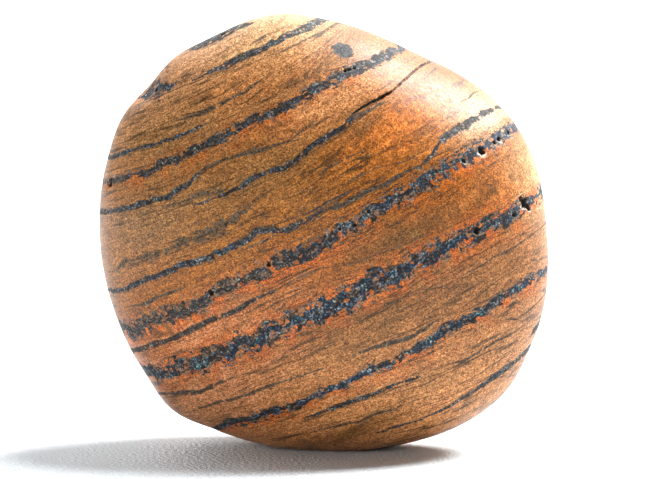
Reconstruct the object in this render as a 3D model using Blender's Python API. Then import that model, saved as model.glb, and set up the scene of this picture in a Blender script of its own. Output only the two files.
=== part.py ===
"""A banded river pebble: one water-worn stone that stands on a small flat worn into its lower edge.

All lengths are in metres. +X is the long way of the stone, +Z is up and -Y is its marked face.
The origin is on the surface that the stone stands on, under the middle of its box.
"""

import math

import bmesh
import bpy
from mathutils import Vector, noise
from mathutils.bvhtree import BVHTree

MM = 0.001

# The outline, seen along Y: radii from the middle of the stone, counter-clockwise from +X.
OUTLINE_STEP_DEG = 10
OUTLINE_RADII_MM = (
    31.0, 30.9, 30.8, 30.6, 29.8, 28.8, 28.0, 28.0, 28.5,
    29.2, 30.6, 31.1, 31.2, 31.9, 31.5, 31.9, 31.4, 31.2,
    30.9, 30.9, 31.1, 31.5, 32.0, 32.9, 31.7, 31.0, 30.6,
    30.6, 31.1, 31.7, 32.7, 33.6, 33.9, 33.0, 32.5, 31.8,
)
MIDDLE_HEIGHT = 30.2 * MM

# How far the two faces stand out from the outline's plane, and how full the stone is between them.
FRONT_DEPTH = 18.2 * MM
BACK_DEPTH = 19.2 * MM
FULLNESS = 2.25

# Broad flats that the river wore: direction (azimuth from +X towards +Y, elevation) and distance.
WORN_FLATS = (
    (-52.0, 44.0, 26.6 * MM),
    (-122.0, -26.0, 24.9 * MM),
    (97.0, 8.0, 18.7 * MM),
    (66.0, -36.0, 24.3 * MM),
    (114.0, 38.0, 25.0 * MM),
)
FLAT_SHARPNESS = 15

# Gentle lumps all over: size of a lump, and how far it stands out.
LUMPS = ((19.0 * MM, 0.34 * MM), (8.0 * MM, 0.12 * MM))
LUMP_SEED = Vector((11.3, 4.7, 8.1))

# Shallow hollows pressed into the surface: place (x, y, z), half width and depth.
HOLLOWS = (
    ((-24.4 * MM, -3.5 * MM, 50.0 * MM), 2.2 * MM, 0.7 * MM),
    ((16.0 * MM, 16.5 * MM, 18.0 * MM), 6.0 * MM, 0.45 * MM),
)

# Open pits in the dark bands of the front face: place (x, z), width and depth.
PITS_MM = (
    (-29.4, 37.3, 0.9, 0.6),
    (-22.9, 50.2, 0.8, 0.5),
    (-15.2, 23.6, 0.8, 0.5),
    (-7.4, 27.7, 0.6, 0.4),
    (2.1, 32.6, 0.6, 0.4),
    (3.3, 53.5, 0.8, 0.4),
    (18.9, 41.2, 0.8, 0.5),
    (21.4, 42.4, 1.2, 0.7),
    (23.7, 43.6, 0.8, 0.5),
    (25.1, 44.4, 0.7, 0.5),
    (20.7, 31.9, 1.0, 0.8),
    (27.4, 34.8, 1.6, 1.0),
    (28.2, 34.2, 1.0, 0.7),
    (25.8, 33.6, 0.6, 0.4),
)

# The open crack: places (x, z) along it on the front face, and its width there.
CRACK_MM = (
    (4.2, 48.0, 0.3),
    (5.1, 48.7, 0.6),
    (6.2, 49.1, 0.7),
    (7.3, 49.6, 0.7),
    (8.1, 50.0, 0.8),
    (8.9, 50.4, 0.5),
    (9.9, 51.1, 0.4),
    (10.8, 51.8, 0.4),
    (11.8, 52.5, 0.4),
    (13.0, 53.3, 0.4),
    (13.8, 53.6, 0.3),
)

# The block that wears the stone's foot flat, under the surface that the stone stands on.
GROUND_SIZE = 100.0 * MM
GROUND_THICKNESS = 20.0 * MM

# How fine the meshes are: cuts across each side of the gridded cube, and rounds of a pit's ball.
GRID_CUTS = 25
PIT_ROUNDS = 2
WELD_DISTANCE = 0.01 * MM

# Where the lines that find the front face start, well in front of the stone.
FAR_IN_FRONT = 100.0 * MM

COLOUR = (0.36, 0.17, 0.07, 1.0)
ROUGHNESS = 0.6
METALLIC = 0.0


def clear_scene():
    for thing in list(bpy.data.objects):
        bpy.data.objects.remove(thing, do_unlink=True)


def new_collection(name, for_cutters=False):
    collection = bpy.data.collections.new(name)
    collection.hide_render = for_cutters
    bpy.context.scene.collection.children.link(collection)
    return collection


def stone_material():
    material = bpy.data.materials.new("banded_stone")
    material.use_nodes = True
    shader = material.node_tree.nodes["Principled BSDF"]
    shader.inputs["Base Color"].default_value = COLOUR
    shader.inputs["Roughness"].default_value = ROUGHNESS
    shader.inputs["Metallic"].default_value = METALLIC
    return material


def outline_radius(angle):
    """The outline's radius at an angle, on a smooth closed curve through the given radii."""
    count = len(OUTLINE_RADII_MM)
    place = math.degrees(angle) % 360 / OUTLINE_STEP_DEG
    start = math.floor(place)
    t = place - start
    before, here, there, beyond = (OUTLINE_RADII_MM[(start + step) % count] for step in (-1, 0, 1, 2))
    slope_here = (there - before) / 2
    slope_there = (beyond - here) / 2
    radius = (
        here * (2 * t**3 - 3 * t**2 + 1)
        + slope_here * (t**3 - 2 * t**2 + t)
        + there * (3 * t**2 - 2 * t**3)
        + slope_there * (t**3 - t**2)
    )
    return radius * MM


def pointing(azimuth_deg, elevation_deg):
    azimuth = math.radians(azimuth_deg)
    elevation = math.radians(elevation_deg)
    level = math.cos(elevation)
    return Vector((level * math.cos(azimuth), level * math.sin(azimuth), math.sin(elevation)))


def reach(direction):
    """How far the stone reaches from its middle in a direction."""
    radius = outline_radius(math.atan2(direction.z, direction.x))
    depth = FRONT_DEPTH if direction.y < 0 else BACK_DEPTH
    across = math.hypot(direction.x, direction.z)
    round_reach = ((across / radius) ** FULLNESS + (abs(direction.y) / depth) ** FULLNESS) ** (-1 / FULLNESS)
    total = round_reach**-FLAT_SHARPNESS
    for azimuth_deg, elevation_deg, distance in WORN_FLATS:
        facing = direction.dot(pointing(azimuth_deg, elevation_deg))
        if facing > 0:
            total += (distance / facing) ** -FLAT_SHARPNESS
    return total ** (-1 / FLAT_SHARPNESS)


def surface_point(direction):
    point = direction * reach(direction)
    for size, height in LUMPS:
        point += direction * height * noise.noise(point / size + LUMP_SEED)
    point.z += MIDDLE_HEIGHT
    for centre, half_width, depth in HOLLOWS:
        apart = (point - Vector(centre)).length
        point -= direction * depth * math.exp(-((apart / half_width) ** 2))
    return point


def even_direction(corner):
    """The direction of a cube grid's point, spread so that the grid is nearly even on a sphere."""
    return Vector([math.tan(part * math.pi / 4) for part in corner]).normalized()


def worn_form():
    """The stone's closed outer surface, from a gridded cube drawn onto the stone's form."""
    form = bmesh.new()
    bmesh.ops.create_cube(form, size=2.0)
    bmesh.ops.subdivide_edges(form, edges=form.edges[:], cuts=GRID_CUTS, use_grid_fill=True)
    for vertex in form.verts:
        vertex.co = surface_point(even_direction(vertex.co))
    bmesh.ops.recalc_face_normals(form, faces=form.faces[:])
    return form


def centre_over_origin(form):
    """Moves the form level, so that the middle of its box is over the origin."""
    for axis in (0, 1):
        places = [vertex.co[axis] for vertex in form.verts]
        shift = Vector((0, 0, 0))
        shift[axis] = -(min(places) + max(places)) / 2
        bmesh.ops.translate(form, verts=form.verts[:], vec=shift)


def object_from(form, name, collection):
    mesh = bpy.data.meshes.new(name)
    form.to_mesh(mesh)
    thing = bpy.data.objects.new(name, mesh)
    collection.objects.link(thing)
    return thing


def as_cutter(thing, stone):
    thing.hide_render = True
    thing.display_type = "WIRE"
    cut = stone.modifiers.new(thing.name, "BOOLEAN")
    cut.operation = "DIFFERENCE"
    cut.solver = "EXACT"
    cut.object = thing


def front_hit(tree, x, z):
    """The point and outward normal of the front face at a place (x, z)."""
    point, normal, _, _ = tree.ray_cast(Vector((x, -FAR_IN_FRONT, z)), Vector((0, 1, 0)))
    return point, normal


def pit_cutters(tree):
    """One mesh of stubby balls, half sunk where the pits are."""
    balls = bmesh.new()
    for x, z, width, depth in PITS_MM:
        point, normal = front_hit(tree, x * MM, z * MM)
        turn = normal.to_track_quat("Z", "Y").to_matrix().to_4x4()
        new = bmesh.ops.create_icosphere(balls, subdivisions=PIT_ROUNDS, radius=width / 2 * MM)["verts"]
        bmesh.ops.scale(balls, verts=new, vec=(1, 1, 2 * depth / width))
        bmesh.ops.transform(balls, verts=new, matrix=turn)
        bmesh.ops.translate(balls, verts=new, vec=point)
    return balls


def crack_cutter(tree, collection):
    """A bent wire along the crack, four-sided and tapered to its ends, sunk to its middle."""
    line = bpy.data.curves.new("crack_line", "CURVE")
    line.dimensions = "3D"
    line.bevel_depth = MM / 2
    line.bevel_resolution = 0
    line.use_fill_caps = True
    route = line.splines.new("POLY")
    route.points.add(len(CRACK_MM) - 1)
    for corner, (x, z, width) in zip(route.points, CRACK_MM):
        point, _ = front_hit(tree, x * MM, z * MM)
        corner.co = (*point, 1.0)
        corner.radius = width
    wire = bpy.data.objects.new("crack_line", line)
    collection.objects.link(wire)
    bpy.context.view_layer.update()
    solid = bpy.data.meshes.new_from_object(wire.evaluated_get(bpy.context.evaluated_depsgraph_get()))
    bpy.data.objects.remove(wire, do_unlink=True)
    tube = bmesh.new()
    tube.from_mesh(solid)
    bmesh.ops.remove_doubles(tube, verts=tube.verts[:], dist=WELD_DISTANCE)
    bmesh.ops.recalc_face_normals(tube, faces=tube.faces[:])
    bpy.data.meshes.remove(solid)
    return tube


def ground_cutter():
    """A block whose top is the surface that the stone stands on: it wears the stone's foot flat."""
    block = bmesh.new()
    bmesh.ops.create_cube(block, size=1.0)
    bmesh.ops.scale(block, verts=block.verts[:], vec=(GROUND_SIZE, GROUND_SIZE, GROUND_THICKNESS))
    bmesh.ops.translate(block, verts=block.verts[:], vec=(0, 0, -GROUND_THICKNESS / 2))
    return block


def main():
    clear_scene()
    stone_collection = new_collection("river_pebble")
    cutter_collection = new_collection("river_pebble_cutters", for_cutters=True)

    form = worn_form()
    centre_over_origin(form)
    tree = BVHTree.FromBMesh(form)
    stone = object_from(form, "pebble", stone_collection)
    stone.data.materials.append(stone_material())
    stone.data.shade_smooth()

    as_cutter(object_from(pit_cutters(tree), "pits", cutter_collection), stone)
    as_cutter(object_from(crack_cutter(tree, cutter_collection), "crack", cutter_collection), stone)
    as_cutter(object_from(ground_cutter(), "ground", cutter_collection), stone)


main()
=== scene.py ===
import math

import bmesh
import bpy
import numpy as np
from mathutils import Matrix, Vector, noise
from mathutils.bvhtree import BVHTree


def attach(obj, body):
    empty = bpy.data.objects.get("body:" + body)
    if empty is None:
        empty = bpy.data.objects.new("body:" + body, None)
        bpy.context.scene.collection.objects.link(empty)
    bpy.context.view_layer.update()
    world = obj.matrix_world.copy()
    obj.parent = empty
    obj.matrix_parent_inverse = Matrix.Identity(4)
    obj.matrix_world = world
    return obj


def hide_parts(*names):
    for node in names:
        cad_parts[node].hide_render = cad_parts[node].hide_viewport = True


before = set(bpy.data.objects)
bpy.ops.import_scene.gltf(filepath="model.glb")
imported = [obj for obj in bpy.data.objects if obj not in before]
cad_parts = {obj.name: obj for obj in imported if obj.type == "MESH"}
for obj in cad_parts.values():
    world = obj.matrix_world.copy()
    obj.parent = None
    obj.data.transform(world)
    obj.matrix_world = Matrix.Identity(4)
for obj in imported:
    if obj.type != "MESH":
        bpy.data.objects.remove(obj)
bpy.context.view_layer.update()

mm = 0.001
perMetre = 1000.0  # mm
scene = bpy.context.scene
scene.view_settings.view_transform = "Standard"


# the camera: level with the stone, looking a little down on it

shot = {
    "elevation": 7.0,  # degrees above level
    "lens": 250.0,
    "sensor": 36.0,
    "clip": (0.01, 20.0),  # m
    "width": 89.7,  # mm seen from side to side, at the stone
    "middle": (0.0, 0.0, 30.2),  # mm, the stone's middle
    "aim": (0.07, 0.0, 28.9),  # mm, what the middle of the frame looks at
}


def lookingAlong():
    tilt = math.radians(shot["elevation"])
    return Vector((0, math.cos(tilt), -math.sin(tilt)))


def viewUp():
    tilt = math.radians(shot["elevation"])
    return Vector((0, math.sin(tilt), math.cos(tilt)))


def cameraPlace():
    away = shot["width"] * mm * shot["lens"] / shot["sensor"]
    return Vector(shot["aim"]) * mm - lookingAlong() * away


def addCamera():
    lensData = bpy.data.cameras.new("camera")
    lensData.lens = shot["lens"]
    lensData.sensor_width = shot["sensor"]
    lensData.clip_start, lensData.clip_end = shot["clip"]
    camera = bpy.data.objects.new("camera", lensData)
    camera.location = cameraPlace()
    camera.rotation_mode = "QUATERNION"
    camera.rotation_quaternion = lookingAlong().to_track_quat("-Z", "Y")
    scene.collection.objects.link(camera)
    scene.camera = camera


# the floor and the light

light = {
    "roomWay": (0.55, 0.65, 0.5),  # the side of the room that is bright; the stone reflects it at its rim
    "roomFrom": 0.2,
    "room": 3.0,
    # strength, where it comes from, degrees across, and whether the stone reflects it as well
    "lamps": {
        "key": (8.7, (0.75, 0.465, 1.0), 26.0, True),  # high, from the right and behind
        "highKey": (2.9, (0.40, 0.14, 1.0), 14.0, False),
        "frontLeftFill": (2.1, (-0.5, -0.85, 0.1), 60.0, False),
        "topBackFill": (1.1, (0.0, 0.6, 0.8), 60.0, True),
        "backFill": (2.3, (-0.6, 0.6, 0.5), 60.0, False),
    },
    "lampAway": 0.5,  # a share of the way it comes from, only so that it is seen when editing
    "floor": (0.76, 0.81, 0.84, 1.0),
    "floorSize": 6.0,  # m
    "floorRoughness": 0.9,
    "floorShine": 0.1,
    "paperGrain": 1800.0,  # grains to a metre
    "paperTooth": 0.0004,  # m
}


def fill(node, inputs):
    # inputs are values or other nodes' sockets
    for socket, value in inputs.items():
        if isinstance(value, bpy.types.NodeSocket):
            node.id_data.links.new(value, node.inputs[socket])
        else:
            node.inputs[socket].default_value = value


def addNode(tree, kind, inputs, output=0, **settings):
    node = tree.nodes.new("ShaderNode" + kind)
    for name, value in settings.items():
        setattr(node, name, value)
    fill(node, inputs)
    return node.outputs[output]


def paperMaterial():
    paper = bpy.data.materials.new("whitePaper")
    paper.use_nodes = True
    tree = paper.node_tree
    place = addNode(tree, "TexCoord", {}, output=3)
    tooth = addNode(tree, "TexNoise", {"Vector": place, "Scale": light["paperGrain"], "Detail": 2.0})
    bump = addNode(tree, "Bump", {"Height": tooth, "Distance": light["paperTooth"]})
    fill(tree.nodes["Principled BSDF"], {"Base Color": light["floor"], "Roughness": light["floorRoughness"],
                                         "Specular IOR Level": light["floorShine"], "Normal": bump})
    return paper


def addFloor():
    form = bmesh.new()
    bmesh.ops.create_grid(form, x_segments=1, y_segments=1, size=light["floorSize"])
    mesh = bpy.data.meshes.new("floor")
    form.to_mesh(mesh)
    form.free()
    mesh.materials.append(paperMaterial())
    floor = bpy.data.objects.new("floor", mesh)
    scene.collection.objects.link(floor)


def addRoom():
    # a white room that lights nothing and only shows in the stone's gloss
    world = bpy.data.worlds.new("whiteRoom")
    world.use_nodes = True
    tree = world.node_tree
    ways = {0: addNode(tree, "TexCoord", {}), 1: Vector(light["roomWay"]).normalized()}
    towards = addNode(tree, "VectorMath", ways, output=1, operation="DOT_PRODUCT")
    strength = addNode(tree, "MapRange", {0: towards, 1: light["roomFrom"], 4: light["room"]})
    fill(tree.nodes["Background"], {"Color": (1, 1, 1, 1), "Strength": strength})
    world.cycles_visibility.diffuse = False
    scene.world = world


def addLamps():
    for name, (power, comesFrom, across, reflected) in light["lamps"].items():
        lampData = bpy.data.lights.new(name, "SUN")
        lampData.energy = power
        lampData.angle = math.radians(across)
        lamp = bpy.data.objects.new(name, lampData)
        lamp.rotation_mode = "QUATERNION"
        lamp.rotation_quaternion = Vector(comesFrom).to_track_quat("Z", "Y")
        lamp.location = Vector(comesFrom) * light["lampAway"]
        lamp.visible_glossy = reflected
        scene.collection.objects.link(lamp)


addCamera()
addFloor()
addRoom()
addLamps()
print("camera, floor and light are set")

# the stone's own shape

stone = {
    "cuts": 113,  # grid cuts on each side of the starting cube
    "closing": 90,  # rounds of smoothing that close the CAD's pits over before they are cut finer
    "smoothing": 12,  # rounds over the whole stone
    "closeReach": (0.9, 0.5),  # mm from the crack's line and from a pit's edge that is closed over
    "fineReach": (0.45, 0.35),  # and that gets the fine mesh
    "pullSteps": 60,  # how often a place outside the outline is pulled in, by a share of its distance
    "pull": 0.004,
    "lumps": ((1.6, 0.022), (0.8, 0.014)),  # mm, size and height of the skin's own unevenness
    "coarseLumps": 1.5,  # how much more of it a coarse dark band has
    "bandRelief": 0.045,  # mm that a coarse dark band is worn in
}

# open pits, in mm right of and above the stone's middle as the camera sees them, then width, depth,
# and how much pale quartz shows round the lower rim
pits = [
    (-29.55, 6.6, 1.3, 0.9, 0.0), (-23.2, 19.4, 0.9, 0.5, 0.3), (-14.1, 27.0, 0.8, 0.5, 0.0),
    (-15.6, -8.7, 0.8, 0.5, 0.0), (-7.6, -4.8, 0.6, 0.4, 0.0), (2.2, 0.2, 0.5, 0.3, 0.3),
    (4.3, 0.7, 0.5, 0.3, 0.0), (2.9, 22.05, 0.5, 0.3, 0.2), (3.45, 22.2, 0.5, 0.35, 0.0),
    (4.2, 22.4, 0.45, 0.3, 0.0), (6.2, 2.6, 0.5, 0.3, 0.2), (19.35, 9.6, 0.7, 0.45, 0.8),
    (21.8, 10.95, 1.1, 0.7, 1.0), (23.6, 12.1, 0.6, 0.4, 0.4), (24.2, 12.6, 0.7, 0.5, 0.5),
    (25.5, 13.5, 0.7, 0.5, 0.5), (21.15, -0.1, 1.0, 0.8, 0.3), (27.7, 3.75, 1.5, 1.0, 1.0),
    (28.35, 3.2, 1.1, 0.8, 0.8), (27.2, 4.3, 0.8, 0.6, 0.3), (26.3, 2.1, 0.6, 0.4, 0.0),
]

# the crack, in the same way: across, up, width
crack = [
    (3.6, 15.7, 0.15), (4.3, 16.3, 0.25), (5.25, 17.0, 0.3), (6.4, 17.6, 0.4),
    (7.5, 18.1, 0.5), (8.3, 18.6, 0.55), (9.1, 19.0, 0.4), (9.6, 19.4, 0.2),
    (10.2, 19.9, 0.28), (10.7, 20.4, 0.2), (11.3, 20.9, 0.3), (11.9, 21.5, 0.22),
    (12.6, 22.1, 0.28), (13.2, 22.6, 0.22), (13.8, 22.9, 0.32), (14.3, 23.15, 0.24),
    (14.8, 23.3, 0.32),
]

hollow = {
    "grit": 0.45,  # mm, the size of the unevenness of their edges
    "pitRagged": 0.45,  # how far that moves an edge, in half widths
    "crackRagged": 0.5,
    "crackDepth": 0.9,  # in widths
    "crackProfile": 0.6,  # under 1 the crack's walls are steep
    "rimFrom": 0.35,  # in half widths above a pit's middle, where its pale rim starts
    "rimAt": 1.15,  # and how far out that is brightest
    "rimWidth": 0.26,  # mm
    # the pits and the crack are painted with shade that darkens with depth
    "shadeDepth": 0.25,  # mm, where it gets quite dark
}


def readMesh(mesh):
    points = np.empty(len(mesh.vertices) * 3, np.float32)
    mesh.vertices.foreach_get("co", points)
    normals = np.empty(len(mesh.vertices) * 3, np.float32)
    mesh.vertex_normals.foreach_get("vector", normals)
    return points.reshape(-1, 3) * perMetre, normals.reshape(-1, 3)


def onStone(tree, across, up):
    # where a place in the camera's view lies on the stone, in mm
    middle = Vector(shot["middle"]) * mm
    eye = cameraPlace()
    for step in range(stone["pullSteps"]):
        pull = (1 - stone["pull"] * step) * mm
        aim = middle + Vector((1, 0, 0)) * across * pull + viewUp() * up * pull
        hit = tree.ray_cast(eye, (aim - eye).normalized())[0]
        if hit is not None:
            return np.array(hit) * perMetre
    raise ValueError("a place lies outside the stone")


def fromLine(points, line):
    # for each point: how far it is from a line of points, its nearest stretch, and how far along that, 0 to 1
    best = np.full(len(points), 1e9)
    stretch = np.zeros(len(points), int)
    along = np.zeros(len(points))
    for index in range(len(line) - 1):
        off, run = points - line[index], line[index + 1] - line[index]
        share = np.clip((off @ run) / (run @ run), 0, 1)
        away = np.linalg.norm(off - share[:, None] * run, axis=1)
        nearer = away < best
        best[nearer], stretch[nearer], along[nearer] = away[nearer], index, share[nearer]
    return best, stretch, along


def nearHollows(points, pitPlaces, crackLine, reach):
    crackReach, pitReach = reach
    near = fromLine(points, crackLine)[0] < crackReach
    for place, pit in zip(pitPlaces, pits):
        near |= np.linalg.norm(points - place, axis=1) < pit[2] / 2 + pitReach
    return near


def smoothForm(form, verts, rounds):
    everyWay = {"use_axis_x": True, "use_axis_y": True, "use_axis_z": True}
    for turn in range(rounds):
        bmesh.ops.smooth_vert(form, verts=verts, factor=0.5, **everyWay)


def closedForm(tree, pitPlaces, crackLine):
    # a gridded cube drawn onto the CAD surface, with its pits and crack closed over
    form = bmesh.new()
    bmesh.ops.create_cube(form, size=2.0)
    bmesh.ops.subdivide_edges(form, edges=form.edges[:], cuts=stone["cuts"], use_grid_fill=True)
    middle = Vector(shot["middle"]) * mm
    for vert in form.verts:
        way = Vector([math.tan(part * math.pi / 4) for part in vert.co]).normalized()
        vert.co = tree.ray_cast(middle, way)[0]
    points = np.array([vert.co for vert in form.verts]) * perMetre
    near = nearHollows(points, pitPlaces, crackLine, stone["closeReach"])
    smoothForm(form, [vert for vert, isNear in zip(form.verts, near) if isNear], stone["closing"])
    smoothForm(form, form.verts[:], stone["smoothing"])
    return form


def makeFine(form, pitPlaces, crackLine):
    # a finer mesh where the pits and the crack are
    middles = np.array([face.calc_center_median() for face in form.faces]) * perMetre
    near = nearHollows(middles, pitPlaces, crackLine, stone["fineReach"])
    edges = {edge for face, isNear in zip(form.faces, near) if isNear for edge in face.edges}
    edges = sorted(edges, key=lambda edge: edge.index)
    bmesh.ops.subdivide_edges(form, edges=edges, cuts=2, use_grid_fill=True)
    bmesh.ops.triangulate(form, faces=[face for face in form.faces if len(face.verts) > 4])
    bmesh.ops.recalc_face_normals(form, faces=form.faces[:])


def unevenness(points, size, offset=0.0):
    shift = Vector((offset, offset * 0.7, -offset))
    return np.array([noise.noise(Vector(point) / size + shift) for point in points])


def hollowDepths(points, pitPlaces, crackLine):
    # how deep each point goes into a pit or the crack, in mm, and how pale it is as a pit's rim
    deep = np.zeros(len(points))
    rim = np.zeros(len(points))
    rough = unevenness(points, hollow["grit"], 3.0)
    for place, (across, up, width, depth, pale) in zip(pitPlaces, pits):
        off = points - place
        away = np.linalg.norm(off, axis=1) / (width / 2 * (1 + hollow["pitRagged"] * rough))
        deep = np.maximum(deep, depth * np.sqrt(np.clip(1 - away**2, 0, 1)))
        below = np.clip(hollow["rimFrom"] - off[:, 2] / (width / 2), 0, 1)
        fromRim = (away - hollow["rimAt"]) * width / hollow["rimWidth"]
        rim = np.maximum(rim, pale * below * np.exp(-(fromRim**2)))
    widths = np.array([width for across, up, width in crack])
    away, stretch, along = fromLine(points, crackLine)
    half = np.interp(stretch + along, range(len(widths)), widths) / 2 * (1 + hollow["crackRagged"] * rough)
    profile = np.clip(1 - away / half, 0, 1) ** hollow["crackProfile"]
    deep = np.maximum(deep, hollow["crackDepth"] * half * 2 * profile)
    return deep, rim


# the dark bands: sheets of dark mineral, nearly all of which run through the stone from front to back

# clump: how ragged the edge is. tone: 1 is blue-black, 0 is a brown stain
bandKinds = {
    "coarse": {"clump": 1.0, "tone": 1.0},
    "fine": {"clump": 0.4, "tone": 0.94},
    "thread": {"clump": 0.12, "tone": 0.62},
    "smudge": {"clump": 0.9, "tone": 0.3},
}


def sheet(name, kind, widths, path, runsOn="neither", halo=(0, 0), frontOnly=False, **own):
    # path: mm right of and above the stone's middle, as the camera sees it. widths: mm, spaced along it.
    # runsOn: the end of it that goes on round the stone. halo: orange stain above and below, 0 to 1.
    # frontOnly: it ends inside the stone. own: a clump or tones of its own, the tones spaced along it too
    return {"name": name, "kind": kind, "widths": widths, "path": path, "runsOn": runsOn, "halo": halo,
            "frontOnly": frontOnly, **bandKinds[kind], **own}


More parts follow.
